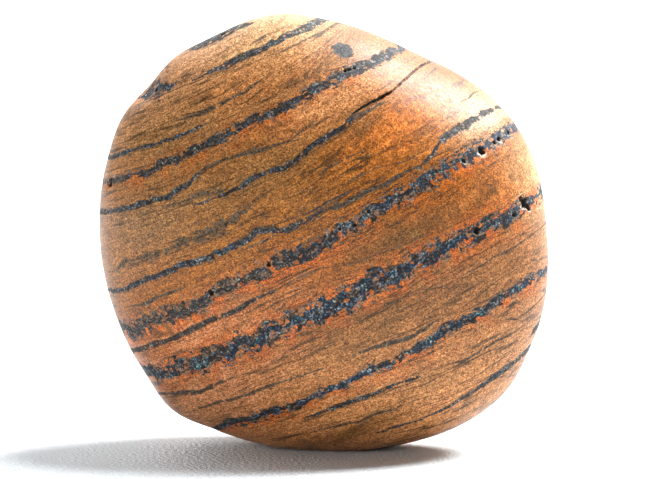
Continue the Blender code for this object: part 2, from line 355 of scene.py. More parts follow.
bands = [
    sheet("rimStrip", "fine", (0.4, 0.9, 0.8, 0.4), [(-18.5, 24.8), (-16.4, 25.9), (-14.1, 27),
        (-12, 28.1), (-10.1, 28.6)], frontOnly=True),
    sheet("topBand", "fine", (0.2, 0.9, 0.95, 0.9, 1), [(-18, 20.8), (-15.5, 22), (-13.5, 22.8),
        (-11.5, 23.9), (-8.6, 25), (-6.5, 26.2), (-4.8, 27), (-2.8, 27.8), (-0.8, 28.9)],
        runsOn="end"),
    sheet("topDash", "thread", (0.25, 0.35, 0.2), [(-9.8, 25.9), (-7.2, 27.3)]),
    sheet("topTwinLong", "thread", (0.2, 0.25, 0.3), [(-6.2, 24.5), (-2.8, 26.2), (0.6, 27.8)],
        runsOn="end"),
    sheet("topTwinShort", "thread", (0.2, 0.3, 0.3), [(-1.7, 26.2), (0.8, 27.9)], runsOn="end"),
    sheet("notchPatch", "coarse", (2, 2.2, 1.2), [(-25, 18.6), (-22.8, 19.6), (-20.9, 20.1)],
        frontOnly=True),
    sheet("upperThread", "fine", (0.6, 0.5, 0.45, 0.3), [(-29.3, 10.1), (-27.4, 10.8), (-25.3, 11.5),
        (-22.8, 12.1), (-19.6, 13.2), (-17.1, 14.3), (-15.5, 15.1)], runsOn="start"),
    sheet("upperDashes", "fine", (0.3, 0.6, 0.5, 0.3, 0.15), [(-19.6, 15.4), (-16.7, 16.2), (-14.4, 17.4),
        (-12.6, 18.4), (-10.8, 19.1), (-9.7, 20.1), (-7.5, 21.7)], tone=0.78),
    sheet("shoulderBand", "coarse", (0.84, 1.08, 1.2, 1.32, 1.44, 1.56, 1.32), [(-30, 6.7), (-27, 7.6),
        (-24.3, 7.9), (-23.2, 8.5), (-22.7, 9.6), (-21.1, 9.6), (-19.5, 10.1), (-18, 11.1),
        (-14.4, 12.7), (-11.2, 14.7), (-8, 15.8), (-4.8, 17.4), (-2.8, 18.5), (-1, 19.8), (1.2, 20.6),
        (3, 21.6), (5.4, 22.7), (7.5, 23.5), (9.5, 24.8), (10.2, 25.2)], runsOn="both", halo=(0.2, 0.5),
        clump=0.7, tone=(0.9, 0.93, 0.97)),
    sheet("leftBand", "fine", (0.7, 0.9, 0.8, 0.3), [(-30.4, 2.5), (-27.9, 2.9), (-25.3, 3.6), (-23.2, 4.2),
        (-21.6, 4.6), (-20, 5.7), (-18.4, 6.7), (-17.4, 7.8), (-16.3, 8.7)], runsOn="start"),
    sheet("leftBandThread", "thread", (0.4, 0.4, 0.35, 0.2), [(-17.4, 7.8), (-16.3, 8.7), (-14.4, 9.6),
        (-11.2, 10.4), (-8, 11.4), (-4.8, 12.3), (-2.8, 14), (-1.2, 15)], tone=0.6),
    sheet("leftWispLow", "thread", (0.2, 0.3, 0.2), [(-15.2, 9.4), (-13.7, 9.8), (-11.5, 10.5),
        (-9.1, 11.6)]),
    sheet("leftWispHigh", "thread", (0.2, 0.3, 0.2), [(-10.2, 10.4), (-8, 11.2), (-5.9, 11.9),
        (-3.3, 12.6)]),
    sheet("crackBand", "fine", (0.2, 0.6, 0.75, 0.8, 0.95, 0.8), [(-17.7, 3.6), (-16.7, 3.8), (-13.7, 5),
        (-11.2, 6.2), (-9.7, 7.2), (-7.3, 8.3), (-5.5, 8.6), (-3.7, 9.8), (-1.7, 11.5), (-0.3, 12.5),
        (1.5, 13.6), (2.9, 14.4), (4, 15.6)]),
    sheet("crackFringe", "fine", (0.8, 0.9, 0.6, 0.3), [(2.9, 14.4), (4, 15.5), (5.3, 16.2), (6.8, 16.9),
        (8.4, 17.7)], tone=0.5),
    sheet("paleHair", "thread", (0.15, 0.3, 0.25), [(19.2, 17.9), (20, 18.3), (20.6, 18.9), (21.3, 19.3)],
        tone=0.5),
    sheet("crackSmear", "smudge", (0.4, 0.8, 1.1, 0.8), [(-21.8, 3.3), (-18.8, 4.2), (-16.7, 5),
        (-14.4, 5.4)], tone=0.5),
    sheet("middleThreadLow", "thread", (0.2, 0.3, 0.2), [(-0.8, 7.9), (1.5, 9), (2.6, 9.6), (3.7, 10.3),
        (5.1, 10.8)]),
    sheet("middleThreadHigh", "thread", (0.15, 0.22, 0.16, 0.1), [(4.4, 7.2), (6.1, 8), (7.2, 8.6),
        (9.1, 9), (10.5, 9.3), (11.7, 9.7), (12.9, 10.5), (15.2, 11.6)]),
    sheet("smudge", "smudge", (0.5, 0.6, 0.9, 1.8, 0.7), [(-28.5, -5.4), (-27.6, -4.3), (-25.3, -3.6),
        (-23.6, -3), (-21.8, -2.7), (-20.2, -2), (-18.5, -1.4), (-15.1, -0.1), (-14.1, 0.6),
        (-11.6, 2.2), (-10.2, 3.1)], tone=0.42),
    sheet("mainFine", "fine", (0.6, 0.9, 0.95, 0.9, 0.95, 0.95, 0.7, 0.55, 0.5, 0.4), [(-29.6, -8.3),
        (-27.9, -8.3), (-26.5, -7.7), (-24.2, -6.6), (-22.5, -6.1), (-21.3, -5.6), (-20.2, -4.9),
        (-19.1, -4.7), (-17.3, -4.3), (-15.6, -3.6), (-13.5, -2.6), (-11.6, -1.8), (-10.2, -1.1),
        (-9.1, -0.1), (-7.7, -0.1), (-5.4, 0), (-3.6, 0.7), (-2.3, 1.5), (-1.2, 2.1), (-0.1, 2.7),
        (1.5, 3.2), (2.6, 3.5), (3.9, 4.2), (5, 4.9), (6.4, 5.6), (8.4, 6.2), (10.1, 7.4), (11.2, 8),
        (13.5, 8.9), (15, 9.9)], runsOn="start", clump=0.55, tone=(0.94, 0.96, 0.94, 0.8, 0.7)),
    sheet("mainFineRight", "coarse", (0.6, 0.8, 0.95, 1.1, 0.85, 0.4), [(13.6, 9.2), (15, 10.4),
        (15.8, 11.9), (17, 13.2), (18.5, 14), (20, 14.8), (21.8, 16.1), (24.3, 17.3)], runsOn="end",
        clump=0.5, tone=0.93),
    sheet("mainFineBranch", "fine", (0.2, 0.4, 0.3), [(-11.6, -3), (-9.5, -2), (-8, -1.4),
        (-6.8, -0.5)]),
    sheet("mainFineUpper", "thread", (0.2, 0.32, 0.25), [(-2.6, 2.1), (-1.2, 2.9), (0.4, 3.9), (2.9, 5.1),
        (3.6, 5.6)], tone=0.9),
    sheet("mainFineHair", "thread", (0.2, 0.25, 0.2), [(3.5, 6.8), (5.8, 8)]),
    sheet("shortThread", "fine", (0.3, 0.5, 0.45, 0.25), [(-27.1, -10.6), (-24.3, -10.1), (-23.4, -9.4),
        (-21.3, -8.7), (-19.5, -8)], tone=0.75),
    sheet("coarseUpper", "coarse", (2.3, 2.3, 2, 2.2, 2.3, 2.39, 2.21, 2.45, 2.29, 1.87), [(-27.8, -13.2),
        (-26.4, -14.3), (-24.9, -13), (-22.5, -11.9), (-19.8, -11.6), (-16.6, -10.1), (-15.5, -8.7),
        (-13, -7.7), (-10.6, -6.6), (-7.5, -5.4), (-6.1, -4.3), (-3.9, -3.6), (-1.5, -2.5), (0.7, -1.1),
        (2.2, 0.2), (4.3, 0.9), (6.1, 2.4), (8.2, 3.3), (9.5, 4.2), (11.5, 5.1), (13, 6.5), (14.1, 6.9),
        (16.4, 8.2), (18.9, 9.6), (21.7, 11.4), (24, 12.9), (26.3, 14.3)], runsOn="both",
        halo=(0.25, 0.9), tone=(0.9, 0.92, 0.97, 1)),
    sheet("underUpper", "fine", (0.9, 0.9, 0.85, 0.7, 0.4), [(-26.4, -16.6), (-23.2, -15.7), (-20.9, -15),
        (-18.7, -13.9), (-15.2, -12.3), (-12.4, -11.3), (-9.5, -9.5), (-6.8, -8.4)], runsOn="start",
        halo=(0, 0.25), tone=0.88),
    sheet("underUpperHair", "thread", (0.3, 0.3, 0.15, 0.2, 0.15, 0.1), [(-6.8, -8.4), (-3.9, -6.7),
        (-0.4, -5.2), (3.7, -4.8), (7.2, -3.4), (10.1, -2.5), (14.9, -0.2)], tone=0.45),
    sheet("coarseLower", "coarse", (2.4, 2.96, 2.8, 2.73, 3.04, 3.34, 3.24, 2.78, 2.33, 1.67),
        [(-24.3, -19.6), (-22.5, -20), (-20.9, -19), (-18.7, -18.5), (-16.4, -18.2), (-15.2, -17.1),
        (-13.4, -17.1), (-11.1, -15.5), (-9.8, -16), (-7.5, -13.8), (-5.4, -13.4), (-3.7, -12.3),
        (-1.9, -11.9), (0.4, -10.9), (3.3, -9.4), (5.8, -8.1), (7.2, -7), (10, -6.5), (12.9, -4.5),
        (15.3, -3.6), (17.7, -1.8), (20.6, -0.8), (22.5, 0.6), (24.6, 1.4), (25.6, 2.1), (27.8, 3.6),
        (29.4, 4.6)], runsOn="both", halo=(0.7, 0.85)),
    sheet("underLowerShort", "fine", (0.5, 0.7, 0.6, 0.3), [(-22.5, -22.6), (-19.6, -22.4), (-17.3, -22.4),
        (-15.2, -21.4), (-12.3, -20.2)], runsOn="start", tone=0.8),
    sheet("underLowerLong", "fine", (0.3, 0.5, 0.45, 0.25), [(-18, -24.9), (-15.1, -23.9), (-10.6, -22.8),
        (-8.4, -21.8), (-5, -20.7), (-0.4, -19.2)], tone=0.65),
    sheet("doubleLine", "fine", (0.3, 0.7, 0.65, 0.4), [(4.4, -17.1), (7.2, -16.1), (10.8, -15.3),
        (12.7, -14.3), (15.3, -12.6)], tone=0.75),
    sheet("rightHair", "thread", (0.2, 0.25, 0.3, 0.2), [(19.2, -6.2), (22.4, -4.5), (23.8, -3.6),
        (25.7, -2.7), (27.5, -1.5), (29.3, -0.2)], runsOn="end", tone=0.6),
    sheet("lowBand", "coarse", (1.08, 1.44, 1.32, 1.08, 1.2, 1.32, 1.44, 1.68, 1.56, 1.2), [(-15.2, -27.6),
        (-13, -26.6), (-10.6, -26.2), (-8.4, -25.5), (-5, -24.6), (-1.9, -23.3), (-0.6, -22.5),
        (1.5, -21.8), (3.7, -20.7), (6.1, -19.3), (9, -18.6), (10.8, -17.5), (12.9, -16.4),
        (15.2, -15), (17, -13.7), (19.8, -12.3), (22, -11.2), (24.3, -9.5), (26.5, -8.1),
        (28.9, -6.7), (31, -5.2)], runsOn="both", halo=(0.15, 0.9), clump=0.75),
    sheet("footLong", "fine", (0.3, 0.7, 0.6, 0.3), [(-2.9, -26), (0.3, -24.9), (3.7, -23.7), (7.2, -22.5),
        (9.5, -21.4), (12.2, -20.6), (13.8, -20)]),
    sheet("footThread", "fine", (0.2, 0.35, 0.35, 0.2), [(-1.9, -28), (1.5, -27.1), (5, -26.4),
        (6.8, -25.5), (10, -24.6), (12, -23.7), (14.9, -22.8)], tone=0.7),
    sheet("footCorner", "fine", (0.3, 0.35, 0.35, 0.45, 0.6, 0.9, 0.7), [(7.2, -28), (10, -27.1),
        (12.7, -26.4), (15.3, -25.3), (17.4, -24.2), (19.8, -22.8), (22, -21.4), (24.3, -19.6),
        (26.4, -18.2), (28.6, -16.4)], runsOn="end"),
    sheet("cornerHairLow", "thread", (0.2, 0.35, 0.3, 0.2), [(18, -18.9), (20.9, -17.1), (23.9, -15.3),
        (26.5, -14.1)], tone=0.7),
    sheet("cornerHairHigh", "thread", (0.2, 0.3, 0.25), [(25, -12.3), (26.8, -12.3), (28.9, -10.6),
        (31, -8.7)], runsOn="end", tone=0.6),
    sheet("cornerPatch", "fine", (0.3, 0.8, 0.6), [(28.5, -14.6), (30, -13.2)], runsOn="end"),
]

# round dark spots, in mm as the camera sees them: across, up, half width
spots = [(2.6, 24.9, 1.5), (-25.6, 16.7, 0.4)]

# patches of another colour: kind, across, up, half length along the layers, half height, strength
# the cream patches are painted highlight, and the khaki strip along the foot is painted shade
tints = [
    ("orange", 10, 14, 9, 4.8, 0.8), ("orange", 3, 18.7, 12, 2.8, 0.7),
    ("cream", 2, 19, 7, 2.4, 0.35), ("orange", -8, 22, 9, 3, 0.45),
    ("orange", 22, 5.5, 8, 1.6, 0.6), ("orange", 0, -4.5, 8, 1.6, 0.3),
    ("khaki", 11, -1.2, 11, 3, 0.85), ("orange", 12.9, 22.3, 0.9, 0.5, 1),
    ("salmon", -17, -14, 12, 4.5, 0.65), ("salmon", -25, -2, 6, 6, 0.2),
    ("salmon", -22, -18.3, 7, 2, 0.8), ("orange", -20, -15.5, 7, 1.8, 0.4),
    ("orange", 23, 3.2, 7, 1.6, 0.5), ("orange", 26, 5.6, 3.5, 1.2, 1),
    ("khaki", -26, 2.5, 6, 4, 0.25), ("cream", -6, 24, 6, 2.2, 0.3),
    ("salmon", 0.5, 17, 6, 2.5, 0.3), ("khaki", 6, -12.2, 10, 3.6, 0.85),
    ("khaki", 21, 4.5, 6, 2.6, 0.6), ("khaki", -12, 6.5, 12, 4, 0.3),
    ("grey", -24.5, 0.3, 4.5, 3.6, 0.5), ("grey", -21, 13, 5, 2, 0.3),
    ("grey", 6, 14.6, 2.2, 1.1, 0.5), ("khaki", 16, -19.5, 9, 2, 0.4),
    # the khaki strip at across 2, up -28.6 is painted shade along the foot
    ("khaki", 15, -15.5, 8, 3.5, 0.35), ("khaki", 2, -28.6, 10, 1.3, 0.9),
    ("khaki", 21, -9.5, 9, 4, 0.4), ("khaki", -21, 10, 8, 7, 0.4),
    ("khaki", -9, -7, 9, 2, 0.5), ("salmon", -14, -22, 9, 5, 0.75),
    # painted highlight on the upper right, the right edge and the top
    ("cream", 23, 16.5, 5, 3.4, 0.9), ("cream", 29.5, 7.5, 4, 6, 0.8),
    ("cream", -5, 28.5, 10, 3, 0.8),
]
# the cream kind is painted highlight
tintKinds = ("orange", "khaki", "salmon", "cream", "grey")

foliation = {
    "dip": 24.5,  # degrees that the bands climb to the right
    "carriedOn": 60.0,  # mm that a band's path goes on straight past its ends
    "taper": 1.5,  # mm in which a band that doesn't run on comes to its end
    "backShift": 4.5,  # mm that a sheet has moved across by the back of the stone
    "backWander": 2.6,  # mm that it wanders there
    "wanderSize": 17.0,  # mm
    "backFrom": -4.0,  # mm, where that starts, from front to back
    "backOver": 24.0,  # mm in which it comes in
    "swellFrom": -2.0,  # mm, where the sheets start to swell and thin out, from front to back
    "swellOver": 12.0,
    "swellSize": 11.0,  # mm
    "swell": 1.6,
    "swellMost": 0.9,
    "frontOnly": 2.5,  # how much sooner than swellOver a sheet that is only in the front ends
    "shortest": 13.5,  # mm, a band shorter than this doesn't guide the layers
    "guideFrom": 0.6,  # mm, a band guides the layers less from this far on
    "reach": 1.3,  # mm past its edge that a band is still counted
    "apart": 1.2,  # reaches by which bands in one group stay apart
    "haloReach": 1.1,  # mm
    "tintDepth": 14.0,  # mm, how far round the stone a patch goes
}
dip = math.radians(foliation["dip"])


def sheetPath(tree, band):
    # the band's path as x and z, carried on past both ends the way that the four points there go
    path = np.array([onStone(tree, across, up)[[0, 2]] for across, up in band["path"]])
    few = min(4, len(path))
    startRun = path[0] - path[few - 1]
    endRun = path[-1] - path[-few]
    start = path[0] + foliation["carriedOn"] * startRun / np.linalg.norm(startRun)
    end = path[-1] + foliation["carriedOn"] * endRun / np.linalg.norm(endRun)
    return np.vstack([start, path, end])


def fromPath(places, path):
    # signed distance from a path, above it positive, and how far along it, 0 and 1 at its real ends
    away, stretch, share = fromLine(places, path)
    runs = np.diff(path, axis=0)
    lengths = np.concatenate([[0], np.cumsum(np.linalg.norm(runs, axis=1))])
    off, run = places - path[stretch], runs[stretch]
    side = np.where(run[:, 0] * off[:, 1] - run[:, 1] * off[:, 0] >= 0, 1, -1)
    along = lengths[stretch] + share * (lengths[stretch + 1] - lengths[stretch])
    return away * side, (along - lengths[1]) / (lengths[-2] - lengths[1])


def sheetPlaces(points):
    # x and z of each point, moved as the sheets wander towards the back
    share = np.clip((points[:, 1] - foliation["backFrom"]) / foliation["backOver"], 0, 1)
    share = share * share * (3 - 2 * share)
    wander = unevenness(points, foliation["wanderSize"], 5.0)
    shift = share * (foliation["backShift"] + foliation["backWander"] * 2 * wander)
    return points[:, [0, 2]] + shift[:, None] * np.array([-math.sin(dip), math.cos(dip)])


def widthAlong(band, real):
    widths = np.array(band["widths"])
    width = np.interp(real, np.linspace(0, 1, len(widths)), widths)
    length = np.linalg.norm(np.subtract(band["path"][-1], band["path"][0]))
    taper = foliation["taper"] / max(1.0, length)
    if band["runsOn"] in ("neither", "end"):
        width = width * np.clip((real + taper / 2) / taper, 0, 1)
    if band["runsOn"] in ("neither", "start"):
        width = width * np.clip((1 + taper / 2 - real) / taper, 0, 1)
    return width


def measureBands(points, tree):
    # for every point: each band's signed distance, half width and tone
    places = sheetPlaces(points)
    behind = np.clip((points[:, 1] - foliation["swellFrom"]) / foliation["swellOver"], 0, 1)
    most = foliation["swellMost"]
    measured = []
    for number, band in enumerate(bands):
        away, real = fromPath(places, sheetPath(tree, band))
        swell = foliation["swell"] * unevenness(points, foliation["swellSize"], 20.0 + 3.1 * number)
        change = 1 + behind * np.clip(swell, -most, most)
        if band["frontOnly"]:
            change = change * np.clip(1 - foliation["frontOnly"] * behind, 0, 1)
        tones = np.atleast_1d(band["tone"])
        tone = np.interp(real, np.linspace(0, 1, len(tones)), tones)
        measured.append((away, widthAlong(band, real) / 2 * change, tone))
    return measured


def bandGroups(measured):
    # bands that come close to each other go in different groups
    groups = []
    for number, (away, half, _) in enumerate(measured):
        near = (np.abs(away) < half + foliation["apart"] * foliation["reach"]) & (half > 0.03)
        for members in groups:
            if not any((near & other).any() for _, other in members):
                members.append((number, near))
                break
        else:
            groups.append([(number, near)])
    return [[number for number, _ in members] for members in groups]


def strataOf(measured):
    # how far up through the layers each point is, in mm, level along every long band
    total = np.zeros(len(measured[0][0]))
    weights = np.zeros(len(measured[0][0]))
    for band, (away, *_) in zip(bands, measured):
        run = np.subtract(band["path"][-1], band["path"][0])
        if np.linalg.norm(run) < foliation["shortest"]:
            continue
        level = np.mean([up * math.cos(dip) - across * math.sin(dip) for across, up in band["path"]])
        weight = 1 / (np.abs(away) + foliation["guideFrom"]) ** 2
        total += weight * (level + away)
        weights += weight
    return total / weights


def haloOf(measured):
    # orange stain beside the coarse bands
    stain = np.zeros(len(measured[0][0]))
    for band, (away, half, _) in zip(bands, measured):
        above, below = band["halo"]
        edge = np.abs(away) - half
        strength = np.where(away > 0, above, below) * (half > 0.05)
        stain = np.maximum(stain, strength * np.exp(-np.clip(edge, 0, None) / foliation["haloReach"]))
    return stain


def tintsOf(points, tree):
    # how strongly each kind of patch shows, on the front and fading out round the sides
    strengths = np.zeros((len(points), len(tintKinds)))
    for kind, across, up, length, height, strength in tints:
        off = points - onStone(tree, across, up)
        along = off[:, 0] * math.cos(dip) + off[:, 2] * math.sin(dip)
        rise = off[:, 2] * math.cos(dip) - off[:, 0] * math.sin(dip)
        far = (along / length) ** 2 + (rise / height) ** 2 + (off[:, 1] / foliation["tintDepth"]) ** 2
        column = tintKinds.index(kind)
        strengths[:, column] = np.maximum(strengths[:, column], strength * np.exp(-far))
    return strengths


def coarseOf(measured):
    # 1 inside a coarse band, 0 outside
    coarse = np.zeros(len(measured[0][0]))
    for band, (away, half, _) in zip(bands, measured):
        if band["kind"] == "coarse":
            coarse = np.maximum(coarse, np.clip((half - np.abs(away)) / 0.3 + 0.5, 0, 1))
    return coarse


def packGroup(group, measured):
    # one group's bands in four numbers for each point, which are the nearest band's: how far away it is,
    # its half width, its clump and its tone
    count = len(measured[0][0])
    packed = np.zeros((count, 4))
    score = np.full(count, 1e9)
    for index in group:
        away, half, tone = measured[index]
        counted = np.where((half > 0.02) & (np.abs(away) < half + foliation["reach"]), half, 0)
        rank = np.abs(away) - half + np.where(counted > 0, 0, 50)
        better = rank < score
        score[better] = rank[better]
        packed[better, 0] = away[better]
        packed[better, 1] = counted[better]
        packed[better, 2] = bands[index]["clump"]
        packed[better, 3] = tone[better]
    return packed


def spotsOf(points, tree):
    # how far inside the nearest spot each point is, in mm
    inside = np.full(len(points), -5.0)
    for across, up, half in spots:
        inside = np.maximum(inside, half - np.linalg.norm(points - onStone(tree, across, up), axis=1))
    return inside


def crackOf(points, tree):
    # how far each point is from the crack's line, and how wide half the crack is there, on the front only
    route = sheet("crack", "fine", [place[2] for place in crack], [place[:2] for place in crack])
    away, real = fromPath(points[:, [0, 2]], sheetPath(tree, route))
    half = np.where(points[:, 1] < 0, widthAlong(route, real) / 2, 0)
    return np.stack([away, half, half, half], axis=1)


def addAttribute(mesh, name, values):
    kind, part = ("FLOAT", "value") if values.ndim == 1 else ("FLOAT_COLOR", "color")
    mesh.attributes.new(name, kind, "POINT").data.foreach_set(part, values.astype(np.float32).ravel())


def hollowPlaces(tree):
    return [onStone(tree, *pit[:2]) for pit in pits], [onStone(tree, *place[:2]) for place in crack]


def makeStone(tree):
    form = closedForm(tree, *hollowPlaces(tree))
    smooth = BVHTree.FromBMesh(form)
    pitPlaces, crackLine = hollowPlaces(smooth)
    makeFine(form, pitPlaces, crackLine)
    mesh = bpy.data.meshes.new("pebbleStone")
    form.to_mesh(mesh)
    form.free()
    points, normals = readMesh(mesh)
    print("stone formed:", len(mesh.polygons), "faces")

    measured = measureBands(points, smooth)
    groups = bandGroups(measured)
    for number, group in enumerate(groups):
        addAttribute(mesh, "band%d" % number, packGroup(group, measured))
    print("bands measured, groups:", [[bands[number]["name"] for number in group] for group in groups])
    shares = tintsOf(points, smooth)
    deep, rim = hollowDepths(points, pitPlaces, crackLine)
    # hollow: how deep a point is in a pit or the crack, which the material turns into painted shade
    shown = {
        "spot": spotsOf(points, smooth), "strata": strataOf(measured), "halo": haloOf(measured),
        "tints": shares[:, :4], "greyTint": shares[:, 4], "crack": crackOf(points, smooth),
        "rim": rim, "hollow": np.clip(deep / hollow["shadeDepth"], 0, 1),
    }
    for name, values in shown.items():
        addAttribute(mesh, name, values)

    coarse = coarseOf(measured)
    stand = -deep
    for number, (size, height) in enumerate(stone["lumps"]):
        stand += height * unevenness(points, size, 7.0 + number) * (1 + stone["coarseLumps"] * coarse)
    stand -= stone["bandRelief"] * coarse
    moved = (points + normals * stand[:, None]) / perMetre
    mesh.vertices.foreach_set("co", moved.astype(np.float32).ravel())
    mesh.update()
    mesh.shade_smooth()
    piece = bpy.data.objects.new("pebbleStone", mesh)
    scene.collection.objects.link(piece)
    return piece, len(groups)


# the stone's material: the matrix, the dark mineral of the bands, and the pits and the crack

skin = {
    # how the matrix changes colour from layer to layer, bottom to top, over a span in mm
    "layerSpan": (-34.0, 34.0),
    "layers": (
        (0.00, (0.29, 0.112, 0.034)), (0.05, (0.42, 0.185, 0.078)), (0.09, (0.43, 0.185, 0.080)),
        (0.13, (0.43, 0.190, 0.082)), (0.17, (0.38, 0.168, 0.074)), (0.25, (0.33, 0.140, 0.056)),
        (0.31, (0.27, 0.108, 0.041)), (0.38, (0.26, 0.085, 0.017)), (0.46, (0.230, 0.074, 0.010)),
        (0.52, (0.225, 0.077, 0.011)), (0.58, (0.235, 0.088, 0.0160)), (0.66, (0.225, 0.098, 0.029)),
        (0.74, (0.245, 0.110, 0.040)), (0.84, (0.31, 0.150, 0.068)), (1.00, (0.40, 0.190, 0.100)),
    ),
    # cream is the colour of the painted highlight patches
    "tints": {"orange": (0.50, 0.145, 0.030, 1.0), "khaki": (0.135, 0.062, 0.018, 1.0),
              "salmon": (0.45, 0.195, 0.110, 1.0), "cream": (0.50, 0.34, 0.200, 1.0),
              "grey": (0.130, 0.085, 0.045, 1.0)},
    # how drawn out along the layers, size in mm, detail, roughness, and mm that they wander up or down
    "wander": (9.0, 1.2, 2.0, 0.5, 2.0),
    # the same for other noises, where nought is not drawn out at all, but last the part of the noise that
    # counts and what that part gives
    "patchy": (3.0, 1.6, 3.0, 0.5, (0.30, 0.65, 0.4, 1.25)),
    "blotch": (0, 4.0, 2.0, 0.5, (0.3, 0.7, 0.91, 1.09)),
    "lamina": (9.0, 0.34, 3.0, 0.6, (0.32, 0.64, 1.20, 0.80)),
    "fibre": (4.5, 0.20, 2.0, 0.6, (0.32, 0.66, 0.0, 1.0)),
    "stainPatches": (0, 1.7, 3.0, 0.5, (0.40, 0.58, 0.10, 1.2)),
    "stain": (0.46, 0.098, 0.009, 1.0),  # orange beside the coarse bands
    "stainRed": (0.38, 0.055, 0.014, 1.0),
    "stainShare": 0.85,
    # thin dark laminae: how drawn out, size in mm, where in the noise, and how strong at most
    "laminae": ((14.0, 1.1, 3.0, 0.85), (12.0, 0.7, 31.0, 0.7), (9.0, 0.45, 57.0, 0.4)),
    "streak": (0.022, 0.016, 0.008, 1.0),  # their olive-brown
    "streakHalf": (0.012, 0.038),  # roughly, mm from the middle of one to where it fades and has faded
    "grain": 0.23,  # mm, the matrix's grains
    "grainStretch": 1.5,  # how much longer they are along the layers
    "dust": 0.13,  # mm, the smallest grains
    # how the grains, the smallest grains and the finest layering change the colour: pale ones are whiter too
    "grainTones": ((0.88, 0.84, 0.76, 1.0), (1.12, 1.15, 1.16, 1.0)),
    "dustTones": ((0.32, 0.20, 0.06, 1.0), (1.72, 1.78, 1.72, 1.0)),
    "fibreTones": ((1.25, 1.25, 1.20, 1.0), (0.76, 0.72, 0.60, 1.0)),
    "brownGrain": (0.070, 0.032, 0.012, 1.0),
    "cream": (0.56, 0.34, 0.17, 1.0),  # quartz grains
    "creamGrain": 0.17,
    # the near-black painted shade in the pits and the crack
    "pit": (0.010, 0.006, 0.004, 1.0),
    "rim": (0.66, 0.58, 0.46, 1.0),
    "crackJag": (0.5, 0.25),  # mm, the size of the crack's jags and how far they go
    "crackWider": 1.1,  # how much wider than the open crack its dark is
    "roughness": (0.38, 0.62),  # of the matrix and of the dark mineral
    "grainRoughness": 0.12,  # how much rougher one grain can be than another
    "shine": 0.22,
    "bump": 0.065,  # mm
    "bumpSize": 0.7,  # mm, the unevenness under the grains
    "bumpShares": (0.35, 0.65),  # of the grains and of what is under them
}

mineral = {
    "clot": 0.80,  # mm, the clots
    "small": 0.30,  # mm, smaller pieces of them
    "gap": 0.62,  # mm, the gaps between them
    "stretch": 1.15,  # how much longer they are along the layers
    "grain": 0.22,  # mm, the grains that differ in colour
    # what makes a band uneven: how drawn out, size in mm, detail, roughness, how far it swings either way
    "flowing": (3.2, 0.55, 3.0, 0.6, 0.8),
    "pinch": (9.0, 0.55, 2.0, 0.5, 1.5),
    "wobble": (9.0, 0.9, 2.0, 0.5, 0.08),
    "strand": (2.2, 1.1, 2.0, 0.5, 1.8),
    "thick": (2.0, 0.9, 2.0, 0.5, 1.5),
    # how much of that a smooth band takes and the raggedest takes, or only the raggedest
    "pinched": (0.45, 0.10),
    "flows": (0.10, 0.52),
    "blocks": 0.86,
    "thickens": 0.42,
    "edgeSoft": (0.11, 0.07),  # mm, how soft the edge of a pale band is, and of a dark one
    "gapShare": (0.04, 0.30),  # how many clots are missing in the middle of a band and at its edge
    "grainsMissing": (0.06, 0.0),
    "gapDepth": 0.9,
    # the strand is the dark core of a band: its width in band widths, and what is blocky about it
    "strandWidth": (0.96, 0.62),
    "strandBlocks": (0.05, 0.39),
    "strandThickens": 0.9,
    "strandSoft": 0.06,  # mm
    "near": (-1.1, 0.1),  # mm from the edge, inwards, where grains start to be scattered and are most
    "spotSoft": 0.08,  # mm
    "spotTone": 0.85,
    "scatter": 0.2,  # the share of grains that are dark right beside a band
    # two sorts of dark grain, each from its blackest to its palest
    "black": ((0.0, (0.002, 0.002, 0.002)), (0.44, (0.006, 0.005, 0.004)), (0.66, (0.030, 0.025, 0.019)),
              (0.80, (0.085, 0.069, 0.052)), (1.0, (0.29, 0.24, 0.19))),
    "blue": ((0.0, (0.001, 0.003, 0.006)), (0.40, (0.005, 0.014, 0.026)), (0.66, (0.018, 0.044, 0.076)),
             (0.80, (0.072, 0.104, 0.124)), (1.0, (0.32, 0.35, 0.35))),
    "blueShare": 0.60,
    "teal": (0.66, 1.06, 0.90, 1.0),
    # the speckle round the clots: brown-black, brown, mauve-grey, tan and orange grains
    "mottle": ((0.0, (0.010, 0.008, 0.007)), (0.34, (0.045, 0.034, 0.026)), (0.52, (0.13, 0.090, 0.070)),
               (0.70, (0.24, 0.115, 0.050)), (0.86, (0.38, 0.140, 0.045))),
    "scattered": ((0.0, (0.030, 0.022, 0.016)), (0.40, (0.085, 0.055, 0.040)), (0.75, (0.15, 0.090, 0.060))),
    # pale grey in the round spots, partly their own grey and partly painted highlight
    "spotGreyAndHighlight": (0.16, 0.18, 0.185, 1.0),
    "fringe": (0.050, 0.040, 0.028, 1.0),
    "brown": (0.042, 0.033, 0.020, 1.0),
}

bandNoises = ("flowing", "pinch", "wobble", "strand", "thick")

stoneMaterial = bpy.data.materials.new("bandedStone")
stoneMaterial.use_nodes = True


def make(kind, inputs, output=0, **settings):
    return addNode(stoneMaterial.node_tree, kind, inputs, output, **settings)


def sums(operation, first, second=0.0, third=0.0, clamp=False):
    return make("Math", {0: first, 1: second, 2: third}, operation=operation, use_clamp=clamp)


def times(first, second, clamp=False):
    return sums("MULTIPLY", first, second, clamp=clamp)


def timesPlus(first, second, third):
    return sums("MULTIPLY_ADD", first, second, third)


def larger(first, second):
    return sums("MAXIMUM", first, second)


def mixed(share, first, second):
    return timesPlus(first, share, times(second, 1 - share))


def between(share, ends):
    return timesPlus(share, ends[1] - ends[0], ends[0])


def blend(share, first, second, how="MIX"):
    return make("Mix", {0: share, 6: first, 7: second}, output=2, data_type="RGBA", blend_type=how)


def multiplied(first, second):
    return blend(1.0, first, second, "MULTIPLY")


